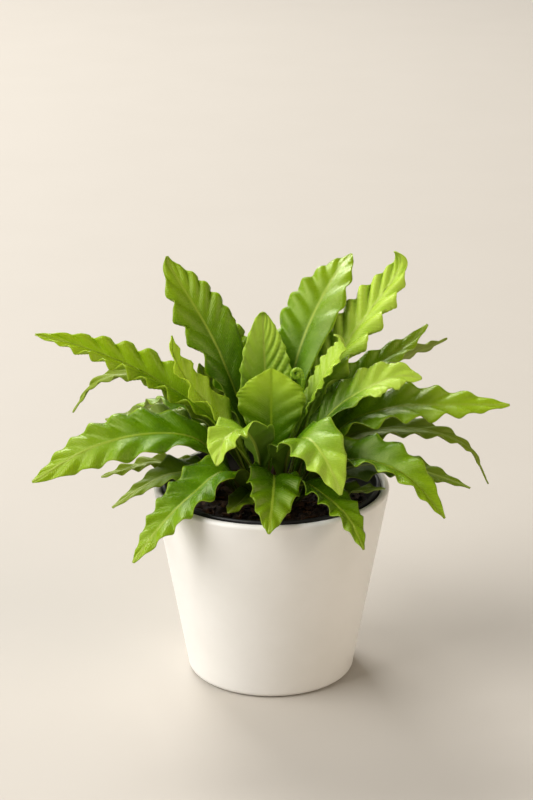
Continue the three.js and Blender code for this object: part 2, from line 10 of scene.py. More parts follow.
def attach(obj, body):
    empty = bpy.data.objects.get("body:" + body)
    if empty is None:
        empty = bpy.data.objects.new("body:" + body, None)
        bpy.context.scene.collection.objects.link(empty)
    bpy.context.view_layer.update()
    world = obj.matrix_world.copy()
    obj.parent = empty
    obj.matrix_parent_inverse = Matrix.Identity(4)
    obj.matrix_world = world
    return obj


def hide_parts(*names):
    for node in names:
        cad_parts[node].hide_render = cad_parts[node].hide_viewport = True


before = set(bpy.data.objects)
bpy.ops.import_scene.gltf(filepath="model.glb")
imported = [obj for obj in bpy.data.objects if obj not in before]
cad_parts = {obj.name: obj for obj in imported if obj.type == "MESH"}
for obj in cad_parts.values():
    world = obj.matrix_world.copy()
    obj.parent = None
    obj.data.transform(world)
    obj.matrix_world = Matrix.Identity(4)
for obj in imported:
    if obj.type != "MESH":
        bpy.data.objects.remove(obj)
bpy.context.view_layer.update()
print("frame loaded:", len(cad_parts), "nodes")

mm = 0.001


# Camera and light

view = dict(distance=1200, height=582.3, sideways=-2.7, lookDown=19.03, lens=97.7, sensor=36)

bpy.ops.object.camera_add(
    location=(view["sideways"] * mm, -view["distance"] * mm, view["height"] * mm),
    rotation=(math.radians(90 - view["lookDown"]), 0, 0))
camera = bpy.context.object
camera.data.lens = view["lens"]
camera.data.sensor_width = view["sensor"]
bpy.context.scene.camera = camera

lampAim = (0, 0, 150)
lamps = [
    dict(name="windowLeft", place=(-3100, -1000, 2700), size=3800, power=240, colour=(1.0, 0.985, 0.96)),
    dict(name="windowBack", place=(-1300, 3100, 3000), size=1800, power=165, colour=(1.0, 0.98, 0.95)),
    dict(name="fillRight", place=(3200, -1500, 1600), size=2600, power=54, colour=(1.0, 0.86, 0.70)),
]

for lamp in lamps:
    bpy.ops.object.light_add(type="AREA", location=Vector(lamp["place"]) * mm)
    light = bpy.context.object
    light.name = lamp["name"]
    light.data.size = lamp["size"] * mm
    light.data.energy = lamp["power"]
    light.data.color = lamp["colour"]
    aim = Vector(lampAim) * mm - light.location
    light.rotation_euler = aim.to_track_quat("-Z", "Y").to_euler()

room = dict(colour=(0.97, 0.94, 0.88), strength=0.15)
bpy.context.scene.world = bpy.data.worlds.new("paleRoom")
bpy.context.scene.world.use_nodes = True
backgroundNode = bpy.context.scene.world.node_tree.nodes["Background"]
backgroundNode.inputs["Color"].default_value = (*room["colour"], 1)
backgroundNode.inputs["Strength"].default_value = room["strength"]
bpy.context.scene.view_settings.view_transform = "Standard"
print("camera and lamps set")


# Shader maths: a Wire is a socket that can stand in a sum, a Finish is a material that grows node by node

class Wire:
    def __init__(self, finish, socket):
        self.finish = finish
        self.socket = socket

    def math(self, operation, *values):
        return self.finish.add("ShaderNodeMath", {"operation": operation}, dict(enumerate(values)))

    def __add__(self, other):
        return self.math("ADD", self, other)

    def __sub__(self, other):
        return self.math("SUBTRACT", self, other)

    def __rsub__(self, other):
        return self.math("SUBTRACT", other, self)

    def __mul__(self, other):
        return self.math("MULTIPLY", self, other)

    def __abs__(self):
        return self.math("ABSOLUTE", self)

    __radd__ = __add__
    __rmul__ = __mul__

    def wave(self):
        return self.math("SINE", self)

    def ramp(self, low, high):
        limits = {"Value": self, "From Min": low, "From Max": high}
        return self.finish.add("ShaderNodeMapRange", {"interpolation_type": "SMOOTHSTEP"}, limits)


class Finish:
    def __init__(self, name, **constants):
        self.material = bpy.data.materials.new(name)
        self.material.use_nodes = True
        self.tree = self.material.node_tree
        self.shader = self.tree.nodes["Principled BSDF"]
        for socket, value in constants.items():
            self.shader.inputs[socket.replace("_", " ")].default_value = value

    def add(self, kind, settings=None, sockets=None, output=None):
        node = self.tree.nodes.new(kind)
        for key, value in (settings or {}).items():
            setattr(node, key, value)
        for key, value in (sockets or {}).items():
            self.plug(self.pick(node.inputs, key), value)
        return Wire(self, self.pick(node.outputs, output))

    def pick(self, sockets, key):
        if isinstance(key, int):
            return sockets[key]
        return next(socket for socket in sockets if socket.enabled and key in (None, socket.name))

    def plug(self, socket, value):
        if isinstance(value, Wire):
            self.tree.links.new(value.socket, socket)
        elif isinstance(value, tuple) and len(value) == 3 and socket.type == "RGBA":
            socket.default_value = (*value, 1)
        else:
            socket.default_value = value

    def wear(self, **wires):
        for socket, value in wires.items():
            self.plug(self.shader.inputs[socket.replace("_", " ")], value)

    def attribute(self, name):
        return self.add("ShaderNodeAttribute", {"attribute_name": name}, output="Fac")

    def place(self):
        return self.add("ShaderNodeTexCoord", output="Object")

    def cloud(self, size, detail=3, roughness=0.55):
        sockets = {"Vector": self.place(), "Scale": 1 / (size * mm), "Detail": detail, "Roughness": roughness}
        return self.add("ShaderNodeTexNoise", {"noise_dimensions": "3D"}, sockets)

    def mix(self, share, low, high):
        sockets = {"Factor": share, "A": low, "B": high}
        return self.add("ShaderNodeMix", {"data_type": "RGBA"}, sockets)

    def bump(self, height, depth):
        sockets = {"Height": height, "Distance": depth * mm, "Strength": 1.0}
        return self.add("ShaderNodeBump", {}, sockets)


def mottledFinish(name, look, **constants):
    # clouds: size and detail of the patches of the two colours, of the smears of gloss and of the grain
    finish = Finish(name, **constants)
    patches, smears, grain = [finish.cloud(size, detail=detail) for size, detail in look["clouds"]]
    finish.wear(
        Base_Color=finish.mix(patches.ramp(*look["spans"]), *look["colours"]),
        Roughness=look["roughness"] + look["varies"] * smears,
        Normal=finish.bump(grain, look["relief"]))
    return finish


# Small helpers for modelling by hand

def startEmpty():
    bpy.ops.object.select_all(action="DESELECT")


def latest(name):
    piece = bpy.context.object
    piece.name = name
    piece.data.name = name
    return piece


def settle(piece):
    startEmpty()
    piece.select_set(True)
    bpy.context.view_layer.objects.active = piece
    bpy.ops.object.transform_apply(location=True, rotation=True, scale=True)


def copyOf(model, placing):
    piece = model.copy()
    piece.data = model.data.copy()
    bpy.context.collection.objects.link(piece)
    piece.data.transform(placing)
    return piece


def joinPieces(name, pieces):
    startEmpty()
    for piece in pieces:
        piece.select_set(True)
    bpy.context.view_layer.objects.active = pieces[0]
    bpy.ops.object.join()
    return latest(name)


def smoothPiece(piece, under):
    startEmpty()
    piece.select_set(True)
    bpy.ops.object.shade_smooth_by_angle(angle=math.radians(under))


def finishPiece(piece, finish, slot, *nodes):
    piece.data.materials.clear()
    piece.data.materials.append(finish.material)
    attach(piece, "root")
    if nodes:
        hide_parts(*nodes)


def smooth(low, high, value):
    t = min(1, max(0, (value - low) / (high - low)))
    return t * t * (3 - 2 * t)


def lerp(ends, share):
    return ends[0] + (ends[1] - ends[0]) * share


def arc(radius, height, size, start, end, steps):
    angles = [math.radians(start + (end - start) * i / steps) for i in range(steps + 1)]
    return [(radius + size * math.cos(a), height + size * math.sin(a)) for a in angles]


def turnPiece(name, rings, sides):
    # a disc is drawn up ring by ring into a closed pot, and its last face is the floor inside
    startEmpty()
    radius, height = rings[0]
    bpy.ops.mesh.primitive_circle_add(
        vertices=sides, radius=radius * mm, location=(0, 0, height * mm), fill_type="NGON")
    piece = latest(name)
    settle(piece)
    bpy.ops.object.mode_set(mode="EDIT")
    bpy.ops.mesh.select_all(action="SELECT")
    for nextRadius, nextHeight in rings[1:]:
        bpy.ops.mesh.extrude_region_move(
            TRANSFORM_OT_translate={"value": (0, 0, (nextHeight - height) * mm)})
        ratio = nextRadius / radius
        bpy.ops.transform.resize(value=(ratio, ratio, 1), center_override=(0, 0, nextHeight * mm))
        radius, height = nextRadius, nextHeight
    bpy.ops.mesh.select_all(action="SELECT")
    bpy.ops.mesh.normals_make_consistent(inside=False)
    bpy.ops.object.mode_set(mode="OBJECT")
    return piece


# Cover pot: satin white ceramic

coverPot = dict(
    height=117, rimRadius=70, baseRadius=50, wall=4.8, floor=6, bottomRound=3.6, floorRound=3, sides=192,
    bottomSteps=8, lipSteps=16, floorSteps=6, smoothUnder=40)

ceramic = dict(
    colours=((0.87, 0.85, 0.81), (0.84, 0.82, 0.775)), clouds=((40, 4), (9, 3), (1.6, 2)), spans=(0.35, 0.7),
    roughness=0.34, varies=0.08, relief=0.012)


def coverPotRings(pot):
    lip = pot["wall"] / 2
    bottom, hollow = pot["bottomRound"], pot["floorRound"]
    floorRadius = pot["baseRadius"] - pot["wall"] - hollow
    return [
        *arc(pot["baseRadius"] - bottom, bottom, bottom, -90, 0, pot["bottomSteps"]),
        *arc(pot["rimRadius"] - lip, pot["height"] - lip, lip, 0, 180, pot["lipSteps"]),
        *arc(floorRadius, pot["floor"] + hollow, hollow, 0, -90, pot["floorSteps"]),
    ]


cover = turnPiece("coverPot", coverPotRings(coverPot), coverPot["sides"])
smoothPiece(cover, coverPot["smoothUnder"])
finishPiece(cover, mottledFinish("whiteCeramic", ceramic, IOR=1.5), "white_ceramic", "cover_pot")
print("cover pot made")


# Nursery pot: thin black plastic with a rolled rim

nurseryPot = dict(
    height=111.5, rimRadius=64.6, rimDepth=8.5, rimWidth=2.2, rimRound=0.8, wall=1.2, wallClearance=3.4,
    shoulder=2, footRound=2, foot=6.3, sides=160, rimSteps=5, smoothUnder=35)

plastic = dict(
    colours=((0.010, 0.010, 0.011), (0.045, 0.038, 0.030)), clouds=((7, 5), (3, 3), (0.9, 3)),
    spans=(0.5, 0.85), roughness=0.3, varies=0.3, relief=0.02)


def nurseryWall(height):
    slope = (coverPot["rimRadius"] - coverPot["baseRadius"]) / coverPot["height"]
    return coverPot["baseRadius"] - coverPot["wall"] - nurseryPot["wallClearance"] + slope * height


def nurseryPotRings(pot):
    foot, wall, shoulder = pot["foot"], pot["wall"], pot["shoulder"]
    top = foot + pot["height"]
    collar = top - pot["rimDepth"]
    outer, bead = pot["rimRadius"], pot["rimRound"]
    inner = outer - pot["rimWidth"]
    return [
        (nurseryWall(foot) - pot["footRound"], foot),
        (nurseryWall(foot + pot["footRound"]), foot + pot["footRound"]),
        (nurseryWall(collar - shoulder), collar - shoulder),
        (outer - shoulder / 2, collar),
        *arc(outer - bead, top - bead, bead, 0, 90, pot["rimSteps"]),
        *arc(inner + bead, top - bead, bead, 90, 180, pot["rimSteps"]),
        (inner - wall / 2, collar + shoulder),
        (nurseryWall(collar - shoulder / 2) - wall, collar - shoulder / 2),
        (nurseryWall(foot + pot["footRound"]) - wall, foot + wall),
    ]


nursery = turnPiece("nurseryPot", nurseryPotRings(nurseryPot), nurseryPot["sides"])
smoothPiece(nursery, nurseryPot["smoothUnder"])
finishPiece(nursery, mottledFinish("blackPlastic", plastic, IOR=1.5), "black_plastic", "nursery_pot")
print("nursery pot made")


# Potting soil: a lumpy top, with bark, fibres and crumbs strewn over it

soil = dict(
    top=105, edgeDrop=1.5, levelFrom=0.4, roughFrom=3, foot=7.8, wallGap=0.3, rings=54, sides=180,
    topWithin=0.01, smoothUnder=60, lumps=0.9, longLumps=(0.31, 0.27), longShift=1.1,
    shortLumps=(0.72, 0.55), shortShift=0.4, shortShare=0.6, clods=2.2, clodSize=6, clodLayers=3,
    grains=0.9, grainSize=1.8, seed=7)

soilLook = dict(
    dark=(0.010, 0.006, 0.004), brown=(0.055, 0.030, 0.015), tan=(0.20, 0.085, 0.025), clods=5,
    clodRange=(0.35, 0.7), grit=1.1, gritRange=(0.62, 0.74), roughness=0.75, varies=0.2, relief=0.5)

crown = dict(radius=20.4, rise=17, fullness=2.2, foot=99.3, holeDepth=5.4)

soilEdge = nurseryWall(soil["top"] - soil["edgeDrop"]) - nurseryPot["wall"] - soil["wallGap"]


def soilHeight(x, y):
    inward = (soilEdge - math.hypot(x, y)) / (soilEdge - crown["radius"])
    share = min(1, max(0, inward / soil["levelFrom"]))
    (longX, longY), (shortX, shortY) = soil["longLumps"], soil["shortLumps"]
    longLump = math.sin(x * longX + soil["longShift"]) * math.cos(y * longY)
    lump = longLump + soil["shortShare"] * math.sin(x * shortX - y * shortY + soil["shortShift"])
    clod = noise.fractal(Vector((x, y, soil["seed"])) / soil["clodSize"], 1.0, 2.0, soil["clodLayers"])
    grain = noise.noise(Vector((x, y, 0)) / soil["grainSize"])
    rough = soil["lumps"] * lump + soil["clods"] * clod + soil["grains"] * grain
    level = soil["top"] - soil["edgeDrop"] * (1 - smooth(0, 1, share))
    return level + rough * min(1, share * soil["roughFrom"])


def soilRings():
    foot = (nurseryWall(soil["foot"]) - nurseryPot["wall"] - soil["wallGap"], soil["foot"])
    edge = (soilEdge, soil["top"] - soil["edgeDrop"])
    inwards = [(soilEdge * (1 - i / soil["rings"]), soil["top"]) for i in range(1, soil["rings"])]
    return [foot, edge, *inwards]


def soilFinish(look):
    finish = Finish("pottingMix", Specular_IOR_Level=0.25)
    clods = finish.cloud(look["clods"], detail=6, roughness=0.7)
    grit = finish.cloud(look["grit"], detail=4, roughness=0.7)
    colour = finish.mix(clods.ramp(*look["clodRange"]), look["dark"], look["brown"])
    colour = finish.mix(grit.ramp(*look["gritRange"]), colour, look["tan"])
    roughness = look["roughness"] + look["varies"] * grit
    finish.wear(Base_Color=colour, Roughness=roughness, Normal=finish.bump(grit, look["relief"]))
    return finish


ground = turnPiece("pottingSoil", soilRings(), soil["sides"])
for vertex in ground.data.vertices:
    if vertex.co.z > (soil["top"] - soil["topWithin"]) * mm:
        vertex.co.z = soilHeight(vertex.co.x / mm, vertex.co.y / mm) * mm
smoothPiece(ground, soil["smoothUnder"])
finishPiece(ground, soilFinish(soilLook), "potting_mix", "potting_soil")
print("soil made")


# Bark, fibres and crumbs: each is modelled once and copied. draws is the seed of the places of its copies.

bark = dict(size=(7, 3.6, 1.5), cuts=2, rough=0.7, uneven=0.7, seed=3, copies=110, sink=0.1, draws=11)
fibre = dict(thickness=0.32, bend=3.2, sides=5, steps=7, sweep=150, lie=70, copies=130, sink=2.6, draws=12)
crumb = dict(radius=1.5, rough=0.4, uneven=0.5, seed=5, copies=220, sink=0.4, draws=13)
strewn = dict(
    fromCrown=2, fromWall=4, tilt=0.35, lengths=(0.6, 1.3), widths=(0.6, 1.2), heights=(0.7, 1.2),
    smoothUnder=50)

litterLook = dict(
    patches=4, patchRange=(0.35, 0.65), streakShare=0.6, streakRange=(0.45, 0.7), roughness=0.7,
    varies=0.2, relief=0.25)


def roughen(settings):
    bpy.ops.transform.vertex_random(
        offset=settings["rough"] * mm, uniform=settings["uneven"], seed=settings["seed"])


def barkPiece():
    bpy.ops.mesh.primitive_cube_add(size=1)
    piece = latest("bark")
    piece.scale = [side * mm for side in bark["size"]]
    settle(piece)
    bpy.ops.object.mode_set(mode="EDIT")
    bpy.ops.mesh.select_all(action="SELECT")
    bpy.ops.mesh.subdivide(number_cuts=bark["cuts"])
    roughen(bark)
    bpy.ops.object.mode_set(mode="OBJECT")
    return piece


def fibrePiece():
    bpy.ops.mesh.primitive_circle_add(
        vertices=fibre["sides"], radius=fibre["thickness"] * mm, location=(0, fibre["bend"] * mm, 0),
        fill_type="NGON")
    piece = latest("fibre")
    settle(piece)
    bpy.ops.object.mode_set(mode="EDIT")
    bpy.ops.mesh.select_all(action="SELECT")
    bpy.ops.mesh.spin(
        steps=fibre["steps"], angle=math.radians(fibre["sweep"]), center=(0, 0, 0), axis=(1, 0, 0))
    bpy.ops.mesh.select_all(action="SELECT")
    bpy.ops.transform.rotate(value=math.radians(fibre["lie"]), orient_axis="Y", center_override=(0, 0, 0))
    bpy.ops.mesh.normals_make_consistent(inside=False)
    bpy.ops.object.mode_set(mode="OBJECT")
    return piece


def crumbPiece():
    bpy.ops.mesh.primitive_ico_sphere_add(subdivisions=2, radius=crumb["radius"] * mm)
    piece = latest("crumb")
    bpy.ops.object.mode_set(mode="EDIT")
    bpy.ops.mesh.select_all(action="SELECT")
    roughen(crumb)
    bpy.ops.object.mode_set(mode="OBJECT")
    return piece


def strew(name, model, settings, finish):
    # each copy has its own size, turn and tilt, and lies a little sunk in the soil
    draw = random.Random(settings["draws"])
    nearest, farthest = crown["radius"] + strewn["fromCrown"], soilEdge - strewn["fromWall"]
    pieces = []
    for _ in range(settings["copies"]):
        angle = draw.uniform(0, 2 * math.pi)
        radius = math.sqrt(draw.uniform(nearest ** 2, farthest ** 2))
        x, y = radius * math.cos(angle), radius * math.sin(angle)
        turn = Matrix.Rotation(draw.uniform(0, 2 * math.pi), 4, "Z")
        lie = turn @ Matrix.Rotation(draw.gauss(0, strewn["tilt"]), 4, "X")
        stretches = [draw.uniform(*strewn[way]) for way in ("lengths", "widths", "heights")]
        spot = Matrix.Translation(Vector((x, y, soilHeight(x, y) - settings["sink"])) * mm)
        pieces.append(copyOf(model, spot @ lie @ Matrix.Diagonal((*stretches, 1))))
    bpy.data.objects.remove(model)
    whole = joinPieces(name, pieces)
    smoothPiece(whole, strewn["smoothUnder"])
    finishPiece(whole, finish, "potting_mix")


def litterFinish(name, dark, pale, size):
    look = litterLook
    finish = Finish(name, Specular_IOR_Level=0.3)
    patches = finish.cloud(size * look["patches"], detail=2)
    streaks = finish.cloud(size, detail=5, roughness=0.7)
    colour = finish.mix(patches.ramp(*look["patchRange"]), dark, pale)
    colour = finish.mix(look["streakShare"] * streaks.ramp(*look["streakRange"]), colour, dark)
    roughness = look["roughness"] + look["varies"] * streaks
    finish.wear(Base_Color=colour, Roughness=roughness, Normal=finish.bump(streaks, look["relief"]))
    return finish


barkBrown = litterFinish("barkBrown", dark=(0.020, 0.009, 0.004), pale=(0.105, 0.045, 0.013), size=1.6)
fibreTan = litterFinish("fibreTan", dark=(0.10, 0.040, 0.010), pale=(0.34, 0.17, 0.050), size=2.5)
peatDark = litterFinish("peatDark", dark=(0.006, 0.004, 0.003), pale=(0.030, 0.016, 0.008), size=1.2)
strew("barkChips", barkPiece(), bark, barkBrown)
strew("coirFibres", fibrePiece(), fibre, fibreTan)
strew("peatCrumbs", crumbPiece(), crumb, peatDark)
print("bark, fibres and crumbs strewn")


# Crown: a low dome of old stalk bases, covered in brown scales

crownLook = dict(rings=12, sides=64, rough=1.2, roughSize=3, footWithin=0.1, smoothUnder=60)

crownScale = dict(
    length=7, width=1.5, tip=0.1, flat=0.35, centre=0.4, sides=6, copies=260, seed=21, within=0.98, sink=0.6,
    lean=20, leanOutwards=55, leanVaries=12, sizes=(0.6, 1.2), smoothUnder=50)


def domeHeight(radius):
    share = min(radius, crown["radius"]) / crown["radius"]
    return soil["top"] + crown["rise"] * (1 - share ** crown["fullness"])


def crownRings():
    turns = [math.radians(90 * i / crownLook["rings"]) for i in range(crownLook["rings"])]
    radii = [crown["radius"] * math.cos(turn) for turn in turns]
    return [(crown["radius"], crown["foot"]), *[(radius, domeHeight(radius)) for radius in radii]]


def scalePiece():
    bpy.ops.mesh.primitive_cone_add(
        vertices=crownScale["sides"], radius1=crownScale["width"] * mm, radius2=crownScale["tip"] * mm,
        depth=crownScale["length"] * mm, location=(0, 0, crownScale["length"] * crownScale["centre"] * mm))
    piece = latest("scale")
    piece.scale = (crownScale["flat"], 1, 1)
    settle(piece)
    return piece


dome = turnPiece("crownDome", crownRings(), crownLook["sides"])
for vertex in dome.data.vertices:
    if vertex.co.z > (crown["foot"] + crownLook["footWithin"]) * mm:
        spot = vertex.co / (crownLook["roughSize"] * mm)
        vertex.co += vertex.co.normalized() * noise.noise(spot) * crownLook["rough"] * mm
smoothPiece(dome, crownLook["smoothUnder"])
scaleBrown = litterFinish("scaleBrown", dark=(0.022, 0.011, 0.006), pale=(0.11, 0.050, 0.020), size=2.0)
finishPiece(dome, scaleBrown, "rootstock", "crown")

draw = random.Random(crownScale["seed"])
scales = []
model = scalePiece()
for _ in range(crownScale["copies"]):
    radius = crown["radius"] * math.sqrt(draw.uniform(0.0, crownScale["within"]))
    around = Matrix.Rotation(draw.uniform(0, 2 * math.pi), 4, "Z")
    outwards = crownScale["leanOutwards"] * radius / crown["radius"]
    lean = math.radians(crownScale["lean"] + outwards + draw.gauss(0, crownScale["leanVaries"]))
    spot = Matrix.Translation(Vector((radius, 0, domeHeight(radius) - crownScale["sink"])) * mm)
    size = Matrix.Scale(draw.uniform(*crownScale["sizes"]), 4)
    scales.append(copyOf(model, around @ spot @ Matrix.Rotation(lean, 4, "Y") @ size))
bpy.data.objects.remove(model)
scaly = joinPieces("crownScales", scales)
smoothPiece(scaly, crownScale["smoothUnder"])
finishPiece(scaly, scaleBrown, "rootstock")
print("crown made")


# Fronds: each one is a grid laid along a curved midrib, folded, pleated, ruffled and given its thickness.
# grows: heading round the pot. root: ring on the crown, angle. spine: reach, height, drift to the right.
# width: half the blade's, greatest at the share widest of its length. opens, taper: how it widens and ends.
# waves, start: how many there are along the left and the right margin, and where in a wave they begin.
# ruffle: their height. late: how much later they set in. liftGrowth: how late they grow towards the margin.
# scallop: how far they move each margin in and out. fold, turn: of the halves and the whole, at base and tip.
# curl: from where and how far the tip rolls. pleats: height on each half between midrib and margin, and how
# far they lean to the tip. crests: how much painted highlight lies along the ridges of their pleats.
# frill: spacing, height and start of small frills along the margins. tint: how much paler (over 0)
# or darker (under 0) the frond is than its tone, at base and tip, partly its own colour and partly painted
# light where it is lit and painted shade where it lies in shade. tintAndPaintedLightFade: where along it that
# sets in
# and ends. nudge: how far its tip is moved, so that its finer waves stay clear of the frond beside it.

rings = dict(outer=16.6, middle=10.8, inner=5)

# what a frond has where its own row doesn't say
plainFrond = dict(
    turn=(0, 0), curl=(1, 0), taper=1.8, opens=1, late=(0, 0), liftGrowth=1.6, scallop=(0.08, 0.08),
    pleats=(0.15, 0.15, 0.05), crests=(0, 0), frill=(5, 0, 0), tint=(0, 0), tintAndPaintedLightFade=(0.38, 0.78),
    nudge=(0, 0, 0))

# what all fronds share: blade has their course, outline and waves, fine their grid and relief, frills the
# rise of the small frills, their stray from even steps and how near the margin they keep
blade = dict(
    stalk=1.45, stalkLength=9, tipWidth=0.7, curlGrowth=1.5, crowding=1.5, lean=0.06, setsIn=(0.12, 0.38),
    narrow=1.25, unevenShare=0.3, unevenRate=0.57, unevenShift=1.3)

fine = dict(
    columns=24, spread=1.5, middle=0.0001, rowLength=0.75, fewestRows=60, edge=0.45, rib=(2.1, 0.9),
    ribWidth=0.8, arch=0.05, lobe=0.25, crease=0.3, creaseRate=2.3, creaseGrowth=3,
    pleatSetsIn=(0.15, 0.45), within=0.9985)

frills = dict(setsIn=0.15, stray=0.8, strayRate=0.31, liftGrowth=5, cutGrowth=6)

